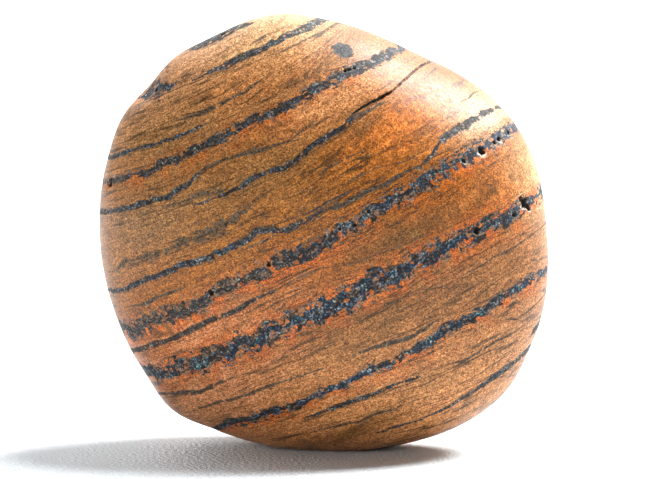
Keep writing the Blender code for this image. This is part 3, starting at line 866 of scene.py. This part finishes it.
def spread(value, fromMin, fromMax, toMin=0.0, toMax=1.0, smooth=False):
    return make("MapRange", {0: value, 1: fromMin, 2: fromMax, 3: toMin, 4: toMax},
                interpolation_type="SMOOTHSTEP" if smooth else "LINEAR", clamp=True)


def colours(value, stops, stepped=False):
    ramped = make("ValToRGB", {0: value})
    ramp = ramped.node.color_ramp
    ramp.interpolation = "CONSTANT" if stepped else "LINEAR"
    while len(ramp.elements) < len(stops):
        ramp.elements.new(0.5)
    for element, (place, colour) in zip(ramp.elements, stops):
        element.position = place
        element.color = (*colour, 1.0)
    return ramped


def channels(colour):
    return list(make("SeparateColor", {0: colour}).node.outputs)


def attribute(name, output=2):
    return make("Attribute", {}, output=output, attribute_name=name)


def grey(place, size, detail=2.0, roughness=0.5):
    return make("TexNoise", {"Vector": place, "Scale": 1.0 / size, "Detail": detail, "Roughness": roughness})


def cells(place, size):
    # three random values for each grain
    return channels(make("TexVoronoi", {"Vector": place, "Scale": 1.0 / size}, output=1))


# places in mm, as they are and in the layers' own directions
stonePlace = make("VectorMath", {0: make("TexCoord", {}, output=3), 3: perMetre}, operation="SCALE")
alongLayers, towardsBack = [make("VectorMath", {0: stonePlace, 1: way}, output=1, operation="DOT_PRODUCT")
                            for way in ((math.cos(dip), 0.0, math.sin(dip)), (0.0, 1.0, 0.0))]
strata = attribute("strata")


def layeredPlace(stretch):
    # a place among the layers, drawn out along them
    drawnOut = [sums("DIVIDE", place, stretch) for place in (alongLayers, towardsBack)]
    return make("CombineXYZ", {0: drawnOut[0], 1: drawnOut[1], 2: strata})


def swinging(stretch, size, detail, roughness, swing):
    # a noise among the layers that swings as far below nought as above it
    return timesPlus(grey(layeredPlace(stretch), size, detail, roughness), 2 * swing, -swing)


def skinNoise(name):
    stretch, size, detail, roughness, part = skin[name]
    place = layeredPlace(stretch) if stretch else stonePlace
    return spread(grey(place, size, detail, roughness), *part)


grains = cells(layeredPlace(skin["grainStretch"]), skin["grain"])
clotPlace = layeredPlace(mineral["stretch"])
clots = cells(clotPlace, mineral["clot"])
smallClots = cells(clotPlace, mineral["small"])
gaps = cells(clotPlace, mineral["gap"])
# what makes the bands uneven, shared by all of them
blocky = sums("ADD", clots[0], timesPlus(smallClots[0], 0.32, -0.66))
flowing, pinch, wobble, strand, thick = [swinging(*mineral[name]) for name in bandNoises]


def layersColour(tintShares):
    layer = sums("ADD", strata, swinging(*skin["wander"]))
    matrix = colours(spread(layer, *skin["layerSpan"]), skin["layers"])
    patchiness = skinNoise("patchy")
    for kind, share in zip(tintKinds, tintShares):
        matrix = blend(times(share, patchiness, clamp=True), matrix, skin["tints"][kind])
    matrix = multiplied(matrix, skinNoise("blotch"))
    matrix = multiplied(matrix, skinNoise("lamina"))
    return multiplied(matrix, blend(skinNoise("fibre"), *skin["fibreTones"]))


def stained(matrix):
    # orange stain beside the coarse bands
    patches = times(attribute("halo"), skinNoise("stainPatches"), clamp=True)
    stain = blend(spread(grains[1], 0.88, 0.94), skin["stain"], skin["stainRed"])
    return blend(times(patches, skin["stainShare"]), matrix, stain)


def withLaminae(matrix, tintShares):
    # thin dark laminae: ridges of a drawn-out noise, where a slower noise lets them through, off the cream
    # patches of painted highlight and faint on the brightest orange
    orangeShare, paintedHighlightShare = tintShares[0], tintShares[3]
    offPale = spread(paintedHighlightShare, 0.05, 0.45, 1.0, 0.0)
    offPale = times(offPale, spread(orangeShare, 0.45, 0.75, 1.0, 0.3))
    darkHalf, fadedHalf = skin["streakHalf"]
    for stretch, size, offset, strongest in skin["laminae"]:
        shifted = make("VectorMath", {0: layeredPlace(stretch), 1: (offset, 0.0, offset)}, operation="ADD")
        ridge = sums("ABSOLUTE", sums("SUBTRACT", grey(shifted, size, 2.0, 0.45), 0.5))
        gate = spread(grey(shifted, 1.4 * size, 1.0), 0.54, 0.62)
        hair = spread(ridge, darkHalf / size, fadedHalf / size, strongest, 0.0)
        matrix = blend(times(times(hair, gate), offPale), matrix, skin["streak"])
    return matrix


def withGrains(matrix):
    # lighter and darker grains at two sizes, some brown, a few of quartz
    dust = cells(stonePlace, skin["dust"])[0]
    quartz = cells(stonePlace, skin["creamGrain"])[0]
    matrix = multiplied(matrix, blend(grains[0], *skin["grainTones"]))
    matrix = multiplied(matrix, blend(dust, *skin["dustTones"]))
    matrix = blend(spread(grains[2], 0.86, 0.90, 0.0, 0.40), matrix, skin["brownGrain"])
    return blend(spread(quartz, 0.965, 0.995, 0.0, 0.28), matrix, skin["cream"])


def groupMasks(number):
    # for one group of bands: how dark it is, how much of that is core, its tone, and how near it is
    away, half, clump = channels(attribute("band%d" % number, 0))[:3]
    lineTone = attribute("band%d" % number, 3)
    real = sums("GREATER_THAN", half, 0.02)
    centre = sums("ADD", away, wobble)
    swell = timesPlus(pinch, between(clump, mineral["pinched"]), 1.0)
    swell = timesPlus(times(thick, clump), mineral["thickens"], swell)
    edge = sums("SUBTRACT", times(half, swell), sums("ABSOLUTE", centre))
    edge = timesPlus(blocky, times(sums("POWER", clump, 1.5), mineral["blocks"]), edge)
    edge = timesPlus(flowing, between(clump, mineral["flows"]), edge)
    soft = spread(lineTone, 0.4, 1.0, *mineral["edgeSoft"])
    inside = times(spread(sums("DIVIDE", edge, soft), -1.0, 1.0, smooth=True), real)
    # gaps between the clots of a coarse band, most of them near its edges
    fromMiddle = sums("DIVIDE", sums("ABSOLUTE", centre), larger(half, 0.05))
    coarseShare = sums("POWER", clump, 3.0)
    gapShare = times(spread(fromMiddle, 0.0, 1.0, *mineral["gapShare"]), coarseShare)
    gap = sums("LESS_THAN", gaps[0], gapShare)
    # single grains missing from a finer one
    missing = sums("LESS_THAN", smallClots[1], between(coarseShare, mineral["grainsMissing"]))
    inside = times(inside, timesPlus(larger(gap, missing), -mineral["gapDepth"], 1.0))
    # the strand wanders inside the band, and is as wide as the band where the band is fine
    clumpSquare = times(clump, clump)
    strandAway = sums("ABSOLUTE", timesPlus(times(strand, clumpSquare), half, centre))
    strandHalf = times(half, between(clumpSquare, mineral["strandWidth"]))
    strandHalf = times(strandHalf, timesPlus(times(thick, clump), mineral["strandThickens"], 1.0))
    strandEdge = sums("SUBTRACT", strandHalf, strandAway)
    strandEdge = timesPlus(blocky, between(clump, mineral["strandBlocks"]), strandEdge)
    strandSoft = mineral["strandSoft"]
    core = times(spread(strandEdge, -strandSoft, strandSoft, smooth=True), inside)
    near = times(spread(edge, *mineral["near"]), times(clump, real))
    return inside, core, times(lineTone, inside), near


def darkMasks(groupCount):
    # the same for all groups and the round spots, and how much is spot
    masks = groupMasks(0)
    for number in range(1, groupCount):
        masks = [larger(*pair) for pair in zip(masks, groupMasks(number))]
    dark, core, tone, near = masks
    spotSoft = mineral["spotSoft"]
    spot = spread(timesPlus(blocky, 0.4, attribute("spot")), -spotSoft, spotSoft, smooth=True)
    tone = larger(tone, times(spot, mineral["spotTone"]))
    return larger(dark, spot), larger(core, spot), tone, near, spot


def withScattered(matrix, near):
    # dark and brown grains scattered off the edges
    scattered = sums("LESS_THAN", smallClots[1], times(sums("POWER", near, 2.0), mineral["scatter"]))
    return blend(times(scattered, 0.8), matrix, colours(smallClots[2], mineral["scattered"], True))


def mineralColour(core, tone, spot):
    shade, sort, tint = cells(stonePlace, mineral["grain"])[:3]
    shade = mixed(0.72, shade, clots[1])
    sort = mixed(0.45, sort, clots[2])
    blackShare = 1 - mineral["blueShare"]
    isBlue = spread(sort, blackShare - 0.05, blackShare + 0.05)
    isBlue = times(isBlue, spread(tone, 0.88, 1.0, 0.25, 1.0))
    isBlue = larger(isBlue, times(spot, 0.85))
    colour = blend(isBlue, colours(shade, mineral["black"]), colours(shade, mineral["blue"]))
    greenish = times(isBlue, spread(clots[0], 0.84, 0.90))
    colour = blend(greenish, colour, mineral["teal"], "MULTIPLY")
    # pale grey in the spots, partly their own grey and partly painted highlight
    spotPaleAndHighlight = times(spot, spread(smallClots[0], 0.2, 0.8, 0.0, 0.5))
    colour = blend(spotPaleAndHighlight, colour, mineral["spotGreyAndHighlight"])
    # the speckle round the core, which is only brown where the band is a pale one
    mottle = colours(mixed(0.5, clots[2], tint), mineral["mottle"], True)
    uneven = spread(mixed(0.35, smallClots[2], tint), 0.15, 0.85, 0.05, 2.5)
    mottle = blend(spread(tone, 0.75, 0.95), multiplied(mineral["fringe"], uneven), mottle)
    colour = blend(times(core, spread(tone, 0.75, 1.0, 0.72, 1.0)), mottle, colour)
    paleShare = sums("SUBTRACT", 1.0, spread(tone, 0.3, 0.95))
    return blend(paleShare, colour, multiplied(mineral["brown"], uneven))


def withHollows(colour):
    # painted shade in the pits and the crack, darker where deeper, and the pale quartz round some of the pits
    rimShare = times(attribute("rim"), spread(smallClots[2], 0.15, 0.35, 0.2, 0.75))
    colour = blend(rimShare, colour, skin["rim"])
    crackAway, crackHalf = channels(attribute("crack", 0))[:2]
    jagSize, jagReach = skin["crackJag"]
    jag = timesPlus(grey(stonePlace, jagSize), 2 * jagReach, -jagReach)
    fromCrack = sums("ABSOLUTE", sums("ADD", crackAway, jag))
    crackEdge = sums("SUBTRACT", times(crackHalf, skin["crackWider"]), fromCrack)
    crackShade = times(spread(crackEdge, -0.03, 0.05), sums("GREATER_THAN", crackHalf, 0.03))
    pitShade = spread(attribute("hollow"), 0.1, 0.7, 0.0, 0.95, True)
    return blend(larger(pitShade, times(crackShade, 0.92)), colour, skin["pit"])


def fillMaterial(groupCount):
    tintShares = [*channels(attribute("tints", 0))[:3], attribute("tints", 3), attribute("greyTint")]
    matrix = withGrains(withLaminae(stained(layersColour(tintShares)), tintShares))
    dark, core, tone, near, spot = darkMasks(groupCount)
    strength = times(dark, spread(tone, 0.2, 0.9, 0.75, 0.98))
    colour = blend(strength, withScattered(matrix, near), mineralColour(core, tone, spot))

    rough = between(dark, skin["roughness"])
    rough = timesPlus(grains[0], skin["grainRoughness"], rough)
    grainShare, underShare = skin["bumpShares"]
    under = times(grey(stonePlace, skin["bumpSize"], 3.0), underShare)
    height = times(sums("ADD", times(grains[0], grainShare), under), skin["bump"] * mm)

    bump = make("Bump", {"Strength": 1.0, "Distance": 1.0, "Height": height})
    fill(stoneMaterial.node_tree.nodes["Principled BSDF"],
         {"Base Color": withHollows(colour), "Roughness": rough, "Specular IOR Level": skin["shine"],
          "Normal": bump})


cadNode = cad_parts["pebble"]
cadTree = BVHTree.FromObject(cadNode, bpy.context.evaluated_depsgraph_get())
stonePiece, groupCount = makeStone(cadTree)
fillMaterial(groupCount)
stonePiece.data.materials.append(stoneMaterial)
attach(stonePiece, "root")
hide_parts("pebble")
print("stone dressed")
